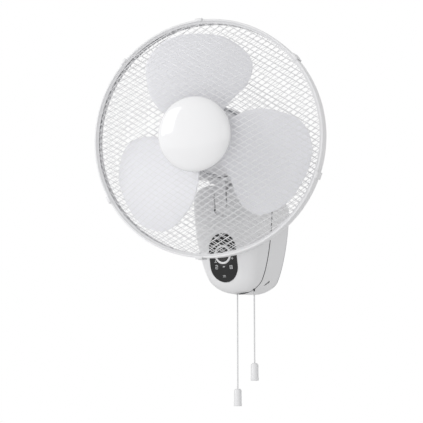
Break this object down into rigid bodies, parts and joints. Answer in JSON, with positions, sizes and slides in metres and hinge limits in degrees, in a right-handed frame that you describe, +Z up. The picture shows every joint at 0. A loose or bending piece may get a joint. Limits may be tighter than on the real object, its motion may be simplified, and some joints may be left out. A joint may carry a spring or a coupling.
{
  "type": "wall mounted fan",
  "caption": "Wall mounted fan: round domed wire guard with three broad blades, tilting neck in a moulded wall base, dark control panel and two pull cords.",
  "frame": {"origin": "on the back face of the wall plate, on the fan's centre line, 8.5 mm above the middle of the base", "axes": "+Z up along the wall, +Y into the wall, so the fan faces -Y; +X to the right as seen from the front"},
  "size_m": [0.4238, 0.3263, 0.7005],
  "materials": {
    "white_plastic": "satin moulded ABS",
    "gloss_white": "polished ABS",
    "blade_plastic": "satin polypropylene, slightly translucent",
    "pale_plastic": "satin",
    "dark_panel": "printed film over black plastic",
    "dark_plastic": "moulded",
    "white_wire": "white powder coat on steel wire",
    "steel": "zinc plated",
    "cast_aluminium": "die cast",
    "brass": "turned",
    "copper": "enamelled winding wire",
    "circuit_board": "solder mask",
    "nylon": "natural nylon",
    "cord": "braided polyester"
  },
  "bodies": {
    "base": {"wall_plate": "steel", "rear_shell": "white_plastic", "front_shell": "white_plastic", "shell_screw_1": "steel", "shell_screw_2": "steel", "shell_screw_3": "steel", "shell_screw_4": "steel", "control_panel": "dark_panel", "circuit_board": "circuit_board", "button_ring": "gloss_white", "switch_plate": "steel", "speed_switch": "dark_plastic", "swing_switch": "dark_plastic", "run_capacitor": "dark_plastic", "terminal_block": "nylon", "cord_inlet": "pale_plastic", "tilt_bracket": "steel", "tilt_pin": "steel", "tilt_nut": "steel"},
    "neck_arm": {"neck": "white_plastic", "swing_post": "steel", "link_stud": "steel"},
    "head": {"motor_frame": "cast_aluminium", "motor_cover": "white_plastic", "stator": "steel", "winding_front": "copper", "winding_rear": "copper", "bearing_front": "steel", "bearing_rear": "steel", "swing_motor": "cast_aluminium", "rear_guard": "white_wire", "guard_nut": "white_plastic", "front_guard": "white_wire", "guard_rim": "white_plastic", "guard_clip_1": "white_plastic", "guard_clip_2": "white_plastic", "guard_clip_3": "white_plastic", "guard_clip_4": "white_plastic", "guard_clip_5": "white_plastic", "guard_clip_6": "white_plastic", "hub_cap": "gloss_white"},
    "rotor": {"fan_blades": "blade_plastic", "rotor_core": "steel", "motor_shaft": "steel", "blade_nut": "white_plastic"},
    "crank": {"swing_crank": "nylon"},
    "link": {"swing_link": "steel"},
    "button": {"power_button": "dark_panel"},
    "speed_pull": {"speed_rod": "brass", "speed_cord": "cord", "speed_grip": "pale_plastic"},
    "swing_pull": {"swing_rod": "brass", "swing_cord": "cord", "swing_grip": "pale_plastic"}
  },
  "joints": [
    {"name": "neck_tilt", "type": "hinge", "parent": "base", "child": "neck_arm", "pos_m": [0, -0.1, 0.06], "axis": [1, 0, 0], "range_deg": [-7.5, 15]},
    {"name": "head_swing", "type": "hinge", "parent": "neck_arm", "child": "head", "pos_m": [0, -0.10008, 0.181], "axis": [0, -0.0998, 0.995], "range_deg": [-56.5, 23.4]},
    {"name": "rotor_spin", "type": "hinge", "parent": "head", "child": "rotor", "pos_m": [0.0361, -0.22113, 0.16885], "axis": [0.2845, -0.9539, -0.0957], "continuous": true},
    {"name": "crank_turn", "type": "hinge", "parent": "head", "child": "crank", "pos_m": [0.00065, -0.06544, 0.1302], "axis": [0, -0.0998, 0.995], "range_deg": [-52.8, 127.3]},
    {"name": "link_turn", "type": "hinge", "parent": "crank", "child": "link", "pos_m": [0.01027, -0.06905, 0.12984], "axis": [0, -0.0998, 0.995], "range_deg": [-127.3, 52.8]},
    {"name": "button_press", "type": "slide", "parent": "base", "child": "button", "axis": [0, 0.9851, 0.1718], "range_m": [0, 0.0012], "stiffness_N_per_m": 500, "springref_m": -0.0003},
    {"name": "speed_cord_pull", "type": "slide", "parent": "base", "child": "speed_pull", "axis": [0, 0, -1], "range_m": [0, 0.012], "stiffness_N_per_m": 300, "springref_m": -0.002},
    {"name": "swing_cord_pull", "type": "slide", "parent": "base", "child": "swing_pull", "axis": [0, 0, -1], "range_m": [0, 0.012], "stiffness_N_per_m": 300, "springref_m": -0.002}
  ],
  "couplings": [
    {"joint": "crank_turn", "follows": "head_swing", "ratio": -2.25},
    {"joint": "link_turn", "follows": "head_swing", "ratio": 2.25}
  ]
}
